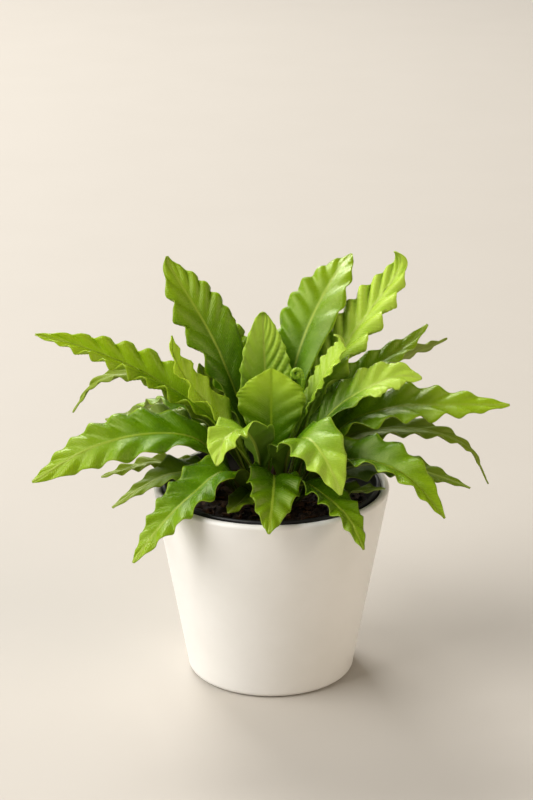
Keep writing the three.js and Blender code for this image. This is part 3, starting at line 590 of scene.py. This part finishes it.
fronds = {
    "frond_left_long": dict(
        grows=173, root=("middle", 170), spine=[(27, 147), (70, 179), (111, 196), (140, 203)], width=13.8,
        widest=0.5, opens=0.6, waves=(10.9, 10), start=(0.02, 0.96), ruffle=3, late=(0.08, 0.24),
        liftGrowth=1.3, scallop=(0.1, 0.16), fold=(40, 28), turn=(-20, -38), crests=(0.3, 0.3),
        tint=(0.55, 0.9), tone="mature"),
    "frond_left_hanging": dict(
        grows=160, root=("middle", 153), spine=[(42, 152), (78, 173), (96, 173), (113, 165), (128, 145)],
        width=8.5, widest=0.42, opens=0.6, taper=1.3, waves=(9, 9), start=(0.3, 0.8), ruffle=2.1,
        fold=(30, 10), turn=(-6, -34), tint=(0.4, 0.7), tone="old"),
    "frond_back_left_tall": dict(
        grows=143, root=("inner", 120), spine=[(25, 164), (35, 184), (45, 200), (61, 220), (80, 241.5)],
        width=17, widest=0.68, waves=(6.7, 11.4), start=(0.9, 0.29), ruffle=2.6, late=(0.18, 0.46),
        liftGrowth=1.7, scallop=(0.15, 0.1), fold=(34, 6), turn=(-12, -30), curl=(0.93, 40),
        pleats=(0.1, 0.2, 0.1), tint=(-0.35, -0.05), tone="mature"),
    "frond_back_left_hidden": dict(
        grows=117, root=("middle", 122), spine=[(32, 150), (56, 182), (72, 200), (82, 208)], width=16,
        widest=0.58, waves=(8, 10), start=(0.2, 0.6), ruffle=2.4, liftGrowth=1.15, fold=(38, 10),
        turn=(-8, -20), tone="mature"),
    "frond_back_upright": dict(
        grows=95, root=("middle", 92), spine=[(12, 150, -1), (21, 185, -2), (27, 217, -3)], width=16.5,
        widest=0.6, waves=(8, 11.5), start=(0.96, 0.69), ruffle=1, scallop=(0.03, 0.03), fold=(34, 14),
        curl=(0.93, 110), pleats=(0.1, 1.0, 0.2), crests=(0.1, 0.9), tint=(-0.15, 0.1), tone="light"),
    "frond_centre_broad": dict(
        grows=90, root=("inner", 240), spine=[(-2, 145), (0, 165), (3, 187)], width=20.5, widest=0.78,
        taper=1.7, waves=(6, 6), start=(0.0, 0.5), ruffle=1, late=(0.2, 0.2), liftGrowth=2.5,
        scallop=(0.03, 0.03), fold=(26, 4), pleats=(0.12, 0.12, 0.16), frill=(2.5, 0.9, 0.66),
        tint=(-0.35, 0.2), tintAndPaintedLightFade=(0.6, 1.0), tone="young"),
    "frond_back_right_tall": dict(
        grows=56, root=("inner", 60),
        spine=[(17, 152, 0), (27, 181, -1), (42, 203, -1), (69, 228), (88, 237)], width=19, widest=0.68,
        waves=(10.1, 6.8), start=(0.6, 0.86), ruffle=2, late=(0.12, 0.4), scallop=(0.05, 0.04),
        fold=(24, 6), tone="mature"),
    "frond_right_tall": dict(
        grows=30, root=("middle", 32), spine=[(32, 168), (53, 196), (72, 217), (84, 230), (95, 247)],
        width=15.5, widest=0.58, taper=2.2, waves=(11, 8.2), start=(0.22, 0.59), ruffle=3, late=(0.1, 0.08),
        liftGrowth=1.3, scallop=(0.09, 0.18), fold=(30, 8), turn=(2, 26), curl=(0.9, 110),
        pleats=(0.5, 0.5, 0.08), crests=(0.5, 0.5), frill=(3.8, 0.1, 0.3), tint=(0.4, 0.9), tone="light"),
    "frond_centre_right_small": dict(
        grows=4, root=("inner", 0),
        spine=[(16, 150, -1.5), (26, 172, -1.8), (34, 186, -1.7), (43, 200, -1), (47, 210)], width=10.9,
        widest=0.78, waves=(12, 9), start=(0.1, 0.5), ruffle=1, scallop=(0.04, 0.04), fold=(26, 12),
        turn=(10, 10), curl=(0.85, 120), crests=(0.6, 0.6), frill=(3.4, 0.3, 0.3), tint=(0.1, 0.55),
        tone="light"),
    "frond_right_back_small": dict(
        grows=22, root=("outer", 20), spine=[(40, 161), (76, 186), (88, 192), (101, 203)], width=12,
        widest=0.5, opens=0.6, waves=(6.8, 7.5), start=(0.44, 0.9), ruffle=2.2, fold=(30, 10), turn=(0, 30),
        tone="mature"),
    "frond_right_back_thin": dict(
        grows=38, root=("outer", 38), spine=[(42, 152), (84, 168), (112, 175), (125, 176), (139, 179)],
        width=11.5, widest=0.5, opens=0.6, taper=2.4, waves=(8, 8), start=(0.2, 0.7), ruffle=2,
        fold=(24, 8), turn=(0, -55), tint=(0.2, 0.5), tone="old"),
    "frond_right_arching": dict(
        grows=357, root=("middle", 0),
        spine=[(22, 141, 3), (37, 164, 5), (57, 178, 3), (74, 184), (88, 183)], width=13.2, widest=0.76,
        opens=0.45, waves=(8, 6), start=(0.75, 0.27), ruffle=1.8, late=(0.1, 0.35), liftGrowth=1.2,
        scallop=(0.05, 0.06), fold=(38, 8), turn=(4, 34), pleats=(0.2, 0.2, 0.08), crests=(0.3, 0.3),
        frill=(3.4, 0.4, 0.6), tint=(-0.8, 0.6), tintAndPaintedLightFade=(0.56, 0.74), tone="light"),
    "frond_right_long": dict(
        grows=0, root=("outer", 344), spine=[(42, 151), (70, 163), (105, 165), (140, 165)], width=17,
        widest=0.52, opens=0.6, taper=1.5, waves=(7, 7.7), start=(0.23, 0.71), ruffle=2.9,
        scallop=(0.1, 0.08), fold=(22, 4), turn=(-4, 38), tint=(0.1, 0.4), tone="mature"),
    "frond_right_hanging": dict(
        grows=6, root=("outer", 5),
        spine=[(37, 136, -6), (64, 145.5, -5), (95, 144.5, -1), (118, 133.5), (131, 110)], width=14,
        widest=0.42, opens=0.7, taper=0.9, waves=(9, 9), start=(0.2, 0.7), ruffle=2.2, fold=(24, 6),
        turn=(24, 10), tint=(0.3, 0.6), tone="old"),
    "frond_right_low": dict(
        grows=326, root=("outer", 322), spine=[(38, 134, 0), (62, 143, -1.5), (92, 139.5, -1), (118, 120)],
        width=17.3, widest=0.47, opens=0.7, waves=(7, 7.5), start=(0.99, 0.23), ruffle=1.9,
        scallop=(0.1, 0.07), fold=(28, 28), turn=(10, 14), tint=(-0.3, 0), tone="mature"),
    "frond_right_low_behind": dict(
        grows=343, root=("middle", 330), spine=[(42, 129), (75, 136), (104, 131), (120, 126.5)], width=14,
        widest=0.42, opens=1.3, taper=1.5, waves=(7, 7), start=(0.4, 0.9), ruffle=1.8, fold=(16, 4),
        turn=(38, 6), tint=(-0.4, -0.2), tone="old"),
    "frond_front_right_light": dict(
        grows=302, root=("middle", 300), spine=[(20, 143), (38, 156), (50, 154), (66, 143), (74, 133)],
        width=18.2, widest=0.52, opens=0.6, waves=(6.4, 6), start=(0.8, 0.93), ruffle=2.6, late=(0.2, 0),
        liftGrowth=1.2, scallop=(0.04, 0.1), fold=(22, 4), turn=(17, 14), tint=(-0.5, 0.2),
        nudge=(0, -0.9, 0), tone="light"),
    "frond_front_right_low": dict(
        grows=299, root=("outer", 288), spine=[(34, 127, -1), (56, 127, -3), (85, 122.5, -2), (103, 112)],
        width=13, widest=0.5, opens=0.55, waves=(6, 7), start=(0.3, 0.7), ruffle=2, late=(0.3, 0.05),
        liftGrowth=1.2, scallop=(0.03, 0.08), fold=(30, 2), turn=(-10, -10), tint=(-0.45, -0.35),
        nudge=(1.2, 0, -0.8), tone="mature"),
    "frond_front_centre": dict(
        grows=269, root=("outer", 268), spine=[(30, 132, -2), (54, 131, -2), (86, 119)], width=16,
        widest=0.48, opens=0.42, waves=(5, 6.3), start=(0.69, 0.44), ruffle=2, liftGrowth=1.3,
        scallop=(0.05, 0.05), fold=(28, 4), turn=(-14, -8), pleats=(0.2, 0.2, 0.08), tint=(-0.45, -0.3),
        tone="mature"),
    "frond_front_left_long": dict(
        grows=225, root=("outer", 233), spine=[(38, 133), (62, 127), (87, 115), (110, 98)], width=16,
        widest=0.44, opens=0.32, waves=(6.4, 7.9), start=(0.75, 0.33), ruffle=2.4, scallop=(0.1, 0.06),
        fold=(28, 2), turn=(0, -8), tone="mature"),
    "frond_left_low": dict(
        grows=202, root=("outer", 216), spine=[(34, 125.6, 0.6), (60, 129, 4), (80, 124, 2), (99, 115)],
        width=14, widest=0.56, opens=0.9, taper=0.6, waves=(6, 6.4), start=(0.7, 0.92), ruffle=1.8,
        scallop=(0.06, 0.06), fold=(28, 2), turn=(0, -20), tone="old"),
    "frond_left_broad": dict(
        grows=189, root=("outer", 199), spine=[(42, 144.5), (67, 151), (104, 145), (141, 125)], width=16.5,
        widest=0.55, opens=0.8, waves=(6.6, 9.3), start=(0.04, 0.15), ruffle=2.5, late=(0.06, 0.12),
        liftGrowth=1.3, scallop=(0.08, 0.05), fold=(30, -12), turn=(-14, -48), tint=(-0.05, 0.2),
        tone="mature"),
    "frond_left_small": dict(
        grows=178, root=("outer", 182), spine=[(36, 123), (68, 128), (84, 124.5), (101, 118.5)], width=6.5,
        widest=0.55, opens=0.7, waves=(6, 6), start=(0.3, 0.8), ruffle=2, fold=(24, 4), turn=(0, -20),
        tint=(0.9, 0.9), tone="old"),
    "frond_front_left_small": dict(
        grows=242, root=("middle", 232),
        spine=[(17, 140, -0.5), (33, 160, 1), (48, 158, 4.5), (61, 147, 2.5)], width=15.2, widest=0.62,
        opens=0.86, waves=(6, 7), start=(0.3, 0.7), ruffle=2.4, liftGrowth=1.15, scallop=(0.08, 0.03),
        fold=(36, 10), turn=(6, 4), frill=(4.4, 0.25, 0.45), tint=(-0.4, 0.3), nudge=(0, -1.2, 0),
        tone="light"),
    "frond_left_twisted": dict(
        grows=190, root=("inner", 180),
        spine=[(20, 141, 0.1), (34, 163, 1.95), (46, 177, 2.5), (57, 198, 1), (58, 211)], width=13,
        widest=0.5, opens=1.1, taper=2.4, waves=(5, 5.5), start=(0.3, 0.7), ruffle=2.6, liftGrowth=1.15,
        scallop=(0.06, 0.06), fold=(30, 16), turn=(-6, -34), frill=(4.0, 0.3, 0.45), tint=(0.5, 0.9),
        tone="young"),
    "frond_left_short": dict(
        grows=140, root=("outer", 139), spine=[(36, 139, 4.5), (51, 157, 5), (61, 177, 5)], width=13,
        widest=0.62, opens=0.6, waves=(5, 5.5), start=(0.3, 0.7), ruffle=2.2, liftGrowth=1.15,
        fold=(36, 10), tone="old"),
    "frond_left_behind": dict(
        grows=171, root=("outer", 165), spine=[(40, 136, -1), (68, 152), (100, 150)], width=14, widest=0.5,
        opens=0.6, waves=(7, 6.5), start=(0.3, 0.7), ruffle=2.4, liftGrowth=1.15, fold=(30, 6),
        turn=(0, -20), nudge=(0, 1.6, 0), tone="old"),
    "frond_right_rim": dict(
        grows=324, root=("outer", 305), spine=[(34, 120.4), (56, 123.5), (80, 131)], width=11, widest=0.5,
        waves=(4.5, 4), start=(0.3, 0.7), ruffle=1.6, fold=(24, 4), tint=(-0.4, -0.4), tone="old"),
    "frond_front_left_low": dict(
        grows=246, root=("outer", 250), spine=[(28, 119), (44, 119), (60, 119)], width=9, widest=0.5,
        waves=(3, 3), start=(0.3, 0.7), ruffle=1.6, fold=(24, 6), tone="old"),
    "frond_back_right_low": dict(
        grows=56, root=("outer", 56), spine=[(44, 134), (78, 144), (108, 134), (124, 118)], width=15,
        widest=0.5, waves=(7, 6.5), start=(0.1, 0.6), ruffle=2.6, fold=(30, 4), tone="mature"),
    "frond_back_middle": dict(
        grows=76, root=("middle", 62), spine=[(34, 152), (60, 178), (76, 186)], width=13, widest=0.55,
        waves=(6, 5.5), start=(0.4, 0.9), ruffle=2, liftGrowth=1.15, fold=(34, 8), nudge=(1.4, 0, 0),
        tone="mature"),
    "frond_back_low": dict(
        grows=80, root=("outer", 73), spine=[(40, 130), (76, 134), (104, 126), (124, 108)], width=16,
        widest=0.5, waves=(7, 6.5), start=(0.3, 0.8), ruffle=2.6, fold=(28, 4), tone="old"),
    "frond_back_long": dict(
        grows=102, root=("outer", 89), spine=[(42, 142), (80, 157), (112, 150), (134, 130)], width=17,
        widest=0.5, waves=(7.5, 7), start=(0.5, 0), ruffle=2.8, liftGrowth=1.15, fold=(30, 4),
        nudge=(1.0, 0, 0), tone="mature"),
    "frond_back_left_low": dict(
        grows=122, root=("outer", 105), spine=[(40, 126), (74, 132), (100, 123), (118, 107)], width=14,
        widest=0.5, waves=(6.5, 6), start=(0.2, 0.7), ruffle=2.4, fold=(28, 4), tone="old"),
    "frond_back_left_long": dict(
        grows=134, root=("outer", 122), spine=[(42, 134), (78, 146), (108, 138), (126, 118)], width=15,
        widest=0.5, waves=(7, 6.5), start=(0.4, 0.9), ruffle=2.6, fold=(30, 4), tone="mature"),
}


def throughPoints(points, steps, stepsPerSpan=60):
    # a centripetal Catmull-Rom curve, as even steps of its direction
    points = [points[0] * 2 - points[1], *points, points[-1] * 2 - points[-2]]
    track = []
    for p0, p1, p2, p3 in zip(points, points[1:], points[2:], points[3:]):
        d0, d1, d2 = [math.sqrt((b - a).length) for a, b in ((p0, p1), (p1, p2), (p2, p3))]
        enter = ((p1 - p0) / d0 - (p2 - p0) / (d0 + d1) + (p2 - p1) / d1) * d1
        leave = ((p2 - p1) / d1 - (p3 - p1) / (d1 + d2) + (p3 - p2) / d2) * d1
        bend = (p2 - p1) * 3 - enter * 2 - leave
        turnBack = (p1 - p2) * 2 + enter + leave
        for i in range(stepsPerSpan):
            t = i / stepsPerSpan
            track.append(p1 + enter * t + bend * t * t + turnBack * t ** 3)
    track.append(points[-2])
    walked = [0.0]
    for a, b in zip(track, track[1:]):
        walked.append(walked[-1] + (b - a).length)
    length = walked[-1]
    directions = []
    at = 0
    for i in range(steps + 1):
        target = length * i / steps
        while at < len(track) - 2 and walked[at + 1] < target:
            at += 1
        low, high = max(0, at - 1), min(len(track) - 1, at + 2)
        directions.append((track[high] - track[low]).normalized())
    return directions, length


def rootPoint(frond):
    ring, degrees = frond["root"]
    radius, angle = rings[ring], math.radians(degrees)
    height = domeHeight(radius) - crown["holeDepth"]
    return Vector((radius * math.cos(angle), radius * math.sin(angle), height))


def spineOf(frond):
    angle = math.radians(frond["grows"])
    heading = Vector((math.cos(angle), math.sin(angle), 0))
    right = Vector((math.sin(angle), -math.cos(angle), 0))
    points = [rootPoint(frond)]
    for reach, height, *drift in frond["spine"]:
        points.append(heading * reach + right * sum(drift) + Vector((0, 0, height)))
    rough = sum((b - a).length for a, b in zip(points, points[1:]))
    rows = max(fine["fewestRows"], round(rough / fine["rowLength"]))
    directions, length = throughPoints(points, rows)
    curlStart, curlDegrees = frond["curl"]
    place = points[0]
    spine = []
    for i, forward in enumerate(directions):
        along = i / rows
        side = (right - forward * right.dot(forward)).normalized()
        curled = max(0, along - curlStart) / (1 - curlStart or 1)
        curl = Matrix.Rotation(math.radians(curlDegrees) * curled ** blade["curlGrowth"], 3, side)
        forward = curl @ forward
        spine.append((place, forward, side, side.cross(forward)))
        place = place + forward * (length / rows)
    return spine, length


def halfWidth(frond, along, length):
    opening = smooth(blade["stalkLength"] / length, frond["widest"], along) ** frond["opens"]
    past = max(0, along - frond["widest"]) / (1 - frond["widest"])
    closing = 1 - past ** frond["taper"]
    return lerp((blade["tipWidth"], lerp((blade["stalk"], frond["width"]), opening)), closing)


def bladeRow(frond, spine, length, row, rows):
    # everything about one cross section that doesn't change across it
    along = row / rows
    place, forward, side, face = spine[row]
    turn = Matrix.Rotation(math.radians(lerp(frond["turn"], along)), 3, forward)
    width = halfWidth(frond, along, length)
    narrowing = min(1, width / frond["width"] * blade["narrow"])
    spacing, height, starts = frond["frill"]
    return dict(
        along=along, place=place, side=turn @ side, face=turn @ face, width=width, narrowing=narrowing,
        frill=height * narrowing * smooth(starts, starts + frills["setsIn"], along),
        frillPhase=2 * math.pi * along * length / spacing, fold=math.radians(lerp(frond["fold"], along)))


def bladePoint(frond, at, across):
    # where a point of one cross section lies, how far it is from the midrib, and how much painted highlight
    # its pleat ridge gets
    out = abs(across)
    hand = -1 if across < 0 else 1
    margin = 0 if hand < 0 else 1
    fold = at["fold"] if across else 0
    half = at["side"] * (hand * math.cos(fold)) + at["face"] * math.sin(fold)
    up = at["face"] * math.cos(fold) - at["side"] * (hand * math.sin(fold))
    *pleatHeights, pleatLean = frond["pleats"]
    waves = frond["waves"][margin] * (at["along"] ** blade["crowding"] - blade["lean"] * out)
    waves += frond["waves"][margin] * pleatLean * (1 - out)
    phase = 2 * math.pi * (waves + frond["start"][margin])
    slowWave = math.sin(blade["unevenRate"] * phase + blade["unevenShift"])
    uneven = math.sin(phase) + blade["unevenShare"] * slowWave
    late = frond["late"][margin]
    damp = at["narrowing"] * smooth(blade["setsIn"][0] + late, blade["setsIn"][1] + late, at["along"])
    middle = math.sin(math.pi * out)
    crease = fine["crease"] * math.sin(fine["creaseRate"] * phase + hand) * out ** fine["creaseGrowth"]
    pleat = pleatHeights[margin] * math.sin(phase) * middle
    lift = damp * (frond["ruffle"] * uneven * out ** frond["liftGrowth"] + crease)
    lift += at["narrowing"] * pleat * smooth(*fine["pleatSetsIn"], at["along"])
    lift += fine["arch"] * at["width"] * middle
    lobes = math.cos(phase) - fine["lobe"] * math.cos(2 * phase)
    reach = at["width"] * out * (1 + frond["scallop"][margin] * damp * lobes)
    stray = frills["stray"] * math.sin(frills["strayRate"] * at["frillPhase"] + hand)
    beat = at["frillPhase"] + hand + stray
    lift += at["frill"] * math.sin(beat) * out ** frills["liftGrowth"]
    reach -= at["frill"] * (1 - abs(math.cos(beat / 2))) * out ** frills["cutGrowth"]
    # painted highlight: the ridges of the pleats are painted paler where light would glint along them
    crest = frond["crests"][margin] * max(0, math.sin(phase)) ** 2 * middle
    return at["place"] + half * reach + up * lift, hand * reach, crest


def growFrond(name, frond):
    spine, length = spineOf(frond)
    rows = len(spine) - 1
    startEmpty()
    bpy.ops.mesh.primitive_grid_add(x_subdivisions=fine["columns"], y_subdivisions=rows, size=1)
    piece = latest(name)
    mesh = piece.data
    sections = [bladeRow(frond, spine, length, row, rows) for row in range(rows + 1)]
    facts = dict(along=[], alongMm=[], acrossMm=[], out=[], pale=[], dark=[])
    thick = piece.vertex_groups.new(name="thick")
    thickest = fine["rib"][0]
    for i, vertex in enumerate(mesh.vertices):
        at = sections[round((vertex.co.y + 0.5) * rows)]
        along = at["along"]
        drawn = abs(2 * vertex.co.x)
        across = math.copysign(drawn ** fine["spread"], vertex.co.x) if drawn > fine["middle"] else 0
        point, reach, crest = bladePoint(frond, at, across)
        point = sections[0]["place"].lerp(point, fine["within"])
        vertex.co = (point + Vector(frond["nudge"]) * along) * mm
        # painted light and shade: the frond is painted paler or darker than its tone, partly its own colour,
        # partly light where it is lit and shade where it lies in shade
        change = lerp(frond["tint"], smooth(*frond["tintAndPaintedLightFade"], along))
        facts["along"].append(along)
        facts["alongMm"].append(along * length)
        facts["acrossMm"].append(reach)
        facts["out"].append(abs(across))
        facts["pale"].append(max(0, change, crest))
        facts["dark"].append(max(0, -change))
        ribHere = lerp(fine["rib"], along) * math.exp(-(reach / fine["ribWidth"]) ** 2)
        thick.add([i], min(1, max(fine["edge"], ribHere) / thickest), "REPLACE")
    for key, values in facts.items():
        mesh.attributes.new(key, "FLOAT", "POINT").data.foreach_set("value", values)
    solid = piece.modifiers.new("thickness", "SOLIDIFY")
    solid.thickness = thickest * mm
    solid.offset = 0
    solid.vertex_group = "thick"
    solid.use_quality_normals = True
    upperCount = len(mesh.vertices)
    bpy.ops.object.modifier_apply(modifier=solid.name)
    upper = [1.0] * upperCount + [0.0] * (len(piece.data.vertices) - upperCount)
    piece.data.attributes.new("upperFace", "FLOAT", "POINT").data.foreach_set("value", upper)
    bpy.ops.object.shade_smooth()
    return piece


# sizes in millimetres, shares of a mix, and the ranges over which a mask rises
frondLook = dict(
    patches=22, patchRange=(0.3, 0.75), blotches=7, flecks=1.8, grain=0.9, grainHighlightRange=(0.45, 0.75),
    grainHighlightShare=0.22, veinSpacing=1.3, veinSlant=0.75, veinWander=1.2, veinShare=0.10, veinVaries=0.07,
    tipRange=(0.45, 1.0), tipShare=0.8, edgeRange=(0.94, 1.0), edgeShare=0.55, underShare=0.8,
    darkest=0.45, baseShadeRange=(0.10, 0.42), baseShadeShare=0.6,
    ribRange=(0.5, 1.15), ribShare=0.85, ribBase=(0.075, 0.055, 0.010), ribFades=(0.12, 0.42),
    underRough=0.22, blotchRough=0.20, veinRelief=0.35, fleckRelief=1.0, grainRelief=2.6, relief=0.09)

# how far red, green and blue light spread inside a blade or a stalk
glow = dict(Subsurface_Radius=(1.0, 1.3, 0.15), Subsurface_Scale=1.2 * mm)


def frondFinish(name, deep, fresh, tip, under, rib, gloss):
    look = frondLook
    finish = Finish(
        name, IOR=1.45, Specular_IOR_Level=0.55, Specular_Tint=(0.95, 1.0, 0.45, 1), Subsurface_Weight=0.15,
        **glow)
    along, out = finish.attribute("along"), finish.attribute("out")
    alongMm, acrossMm = finish.attribute("alongMm"), finish.attribute("acrossMm")
    upper = finish.attribute("upperFace")
    fromRib = abs(acrossMm)
    patches = finish.cloud(look["patches"], detail=3)
    blotches = finish.cloud(look["blotches"], detail=3)
    flecks = finish.cloud(look["flecks"], detail=4)
    grain = finish.cloud(look["grain"], detail=2)
    slanted = alongMm - look["veinSlant"] * fromRib + look["veinWander"] * patches
    veins = (slanted * (2 * math.pi / look["veinSpacing"])).wave()
    colour = finish.mix(patches.ramp(*look["patchRange"]), deep, fresh)
    colour = finish.mix(look["tipShare"] * along.ramp(*look["tipRange"]), colour, tip)
    colour = finish.mix(look["veinShare"] + look["veinVaries"] * veins, colour, deep)
    colour = finish.mix(look["edgeShare"] * out.ramp(*look["edgeRange"]), colour, tip)
    # painted highlight: tiny pale specks across the grain stand in for the grainy sheen of light on the blade
    colour = finish.mix(look["grainHighlightShare"] * grain.ramp(*look["grainHighlightRange"]), colour, tip)
    underside = finish.mix(look["underShare"], colour, under)
    colour = finish.mix(upper, underside, colour)
    # painted light: paler where the frond is painted as lit, and on the painted highlights along its pleat
    # ridges
    colour = finish.mix(finish.attribute("pale"), colour, tip)
    darkest = tuple(look["darkest"] * part for part in deep)
    # painted shade: darker where the frond is painted as lying in shade, partly its own darker colour
    colour = finish.mix(finish.attribute("dark"), colour, darkest)
    # painted shade: each blade is painted darker towards its base, where the fronds of the crown shade one
    # another
    shaded = look["baseShadeShare"] - look["baseShadeShare"] * along.ramp(*look["baseShadeRange"])
    colour = finish.mix(shaded, colour, darkest)
    ribMask = 1 - fromRib.ramp(*look["ribRange"])
    ribColour = finish.mix(along.ramp(*look["ribFades"]), look["ribBase"], rib)
    colour = finish.mix(look["ribShare"] * ribMask, colour, ribColour)
    roughness = gloss + look["underRough"] - look["underRough"] * upper + look["blotchRough"] * blotches
    relief = look["veinRelief"] * veins * (1 - ribMask) + look["fleckRelief"] * flecks
    relief = relief + look["grainRelief"] * grain
    finish.wear(Base_Color=colour, Roughness=roughness, Normal=finish.bump(relief, look["relief"]))
    return finish


frondFinishes = {
    "mature": frondFinish(
        "frondMature", deep=(0.048, 0.138, 0.0003), fresh=(0.112, 0.255, 0.0005), tip=(0.310, 0.450, 0.008),
        under=(0.160, 0.215, 0.025), rib=(0.280, 0.380, 0.030), gloss=0.17),
    "old": frondFinish(
        "frondOld", deep=(0.046, 0.104, 0.0003), fresh=(0.088, 0.165, 0.001), tip=(0.220, 0.300, 0.010),
        under=(0.170, 0.180, 0.065), rib=(0.240, 0.310, 0.050), gloss=0.34),
    "light": frondFinish(
        "frondLight", deep=(0.085, 0.225, 0.0005), fresh=(0.210, 0.385, 0.003), tip=(0.450, 0.620, 0.060),
        under=(0.190, 0.310, 0.030), rib=(0.400, 0.520, 0.070), gloss=0.17),
    "young": frondFinish(
        "frondYoung", deep=(0.070, 0.190, 0.0003), fresh=(0.155, 0.330, 0.0005), tip=(0.460, 0.640, 0.035),
        under=(0.290, 0.420, 0.040), rib=(0.260, 0.390, 0.015), gloss=0.17),
}

for node, frond in fronds.items():
    first, *others = node.split("_")
    piece = growFrond(first + "".join(word.capitalize() for word in others), {**plainFrond, **frond})
    finishPiece(piece, frondFinishes[frond["tone"]], "frond_" + frond["tone"], node)
print("fronds grown:", len(fronds))


# Crozier: a young frond still rolled up on its bare stalk, with leaflets down both sides of the roll

crozier = dict(
    root=("inner", 300), stalk=[(7, 1, 140), (14, 3, 158), (18.5, 3.5, 173)], roll=(14.7, 3.5, 183),
    rollRadius=3.8, turns=1.15, rollPoints=9, tightening=0.6, thickness=1.1, roundness=4, smoothness=8)

leaflet = dict(radius=0.85, shape=(0.5, 1.0, 0.75), steps=64, startsAt=0.42, outwards=0.55, sideways=0.8)

crozierLook = dict(
    colours=((0.160, 0.330, 0.005), (0.420, 0.620, 0.030)), clouds=[(1.4, 4)] * 3, spans=(0.35, 0.7),
    roughness=0.42, varies=0.15, relief=0.15)


def crozierPoints():
    points = [rootPoint(crozier)] + [Vector(point) for point in crozier["stalk"]]
    for i in range(crozier["rollPoints"] + 1):
        wound = i / crozier["rollPoints"]
        angle = wound * crozier["turns"] * 2 * math.pi
        radius = crozier["rollRadius"] * (1 - crozier["tightening"] * wound)
        points.append(Vector(crozier["roll"]) + Vector((math.cos(angle), 0, math.sin(angle))) * radius)
    return points


def stemPiece(points):
    line = bpy.data.curves.new("crozier", "CURVE")
    line.dimensions = "3D"
    line.bevel_depth = crozier["thickness"] * mm
    line.bevel_resolution = crozier["roundness"]
    line.resolution_u = crozier["smoothness"]
    line.use_fill_caps = True
    track = line.splines.new("NURBS")
    track.points.add(len(points) - 1)
    track.order_u = 3
    track.use_endpoint_u = True
    for spot, point in zip(track.points, points):
        spot.co = (*point * mm, 1)
    piece = bpy.data.objects.new("crozier", line)
    bpy.context.collection.objects.link(piece)
    piece.select_set(True)
    bpy.context.view_layer.objects.active = piece
    bpy.ops.object.convert(target="MESH")
    return bpy.context.object


def leafletPiece():
    bpy.ops.mesh.primitive_ico_sphere_add(subdivisions=2, radius=leaflet["radius"] * mm)
    piece = latest("leaflet")
    piece.scale = leaflet["shape"]
    settle(piece)
    return piece


startEmpty()
points = crozierPoints()
stem = stemPiece(points)
model = leafletPiece()
leaflets = []
directions, length = throughPoints(points, leaflet["steps"])
place = points[0]
for i, forward in enumerate(directions):
    outward = forward.cross(Vector((0, 1, 0))).normalized()
    for hand in (-1, 1):
        if i / len(directions) < leaflet["startsAt"]:
            continue
        across = Vector((0, hand, 0))
        turned = Matrix((forward, outward, across)).transposed().to_4x4()
        lifted = outward * crozier["thickness"] * leaflet["outwards"]
        spot = place + lifted + across * crozier["thickness"] * leaflet["sideways"]
        leaflets.append(copyOf(model, Matrix.Translation(spot * mm) @ turned))
    place = place + forward * (length / leaflet["steps"])
bpy.data.objects.remove(model)
curled = joinPieces("youngCrozier", [stem, *leaflets])
bpy.ops.object.shade_smooth()
crozierGreen = mottledFinish("crozierGreen", crozierLook, IOR=1.45, Subsurface_Weight=0.3, **glow)
finishPiece(curled, crozierGreen, "frond_young", "crozier")
print("crozier made")


# Floor

floor = dict(size=14000, below=0.2, colour=(0.535, 0.50, 0.45), shade=(0.515, 0.48, 0.43), patches=120)

startEmpty()
bpy.ops.mesh.primitive_plane_add(size=floor["size"] * mm, location=(0, 0, -floor["below"] * mm))
floorPlane = latest("paleFloor")
settle(floorPlane)
paleFloor = Finish("paleFloor", Roughness=0.6, Specular_IOR_Level=0.2)
paleFloor.wear(Base_Color=paleFloor.mix(paleFloor.cloud(floor["patches"]), floor["colour"], floor["shade"]))
floorPlane.data.materials.append(paleFloor.material)
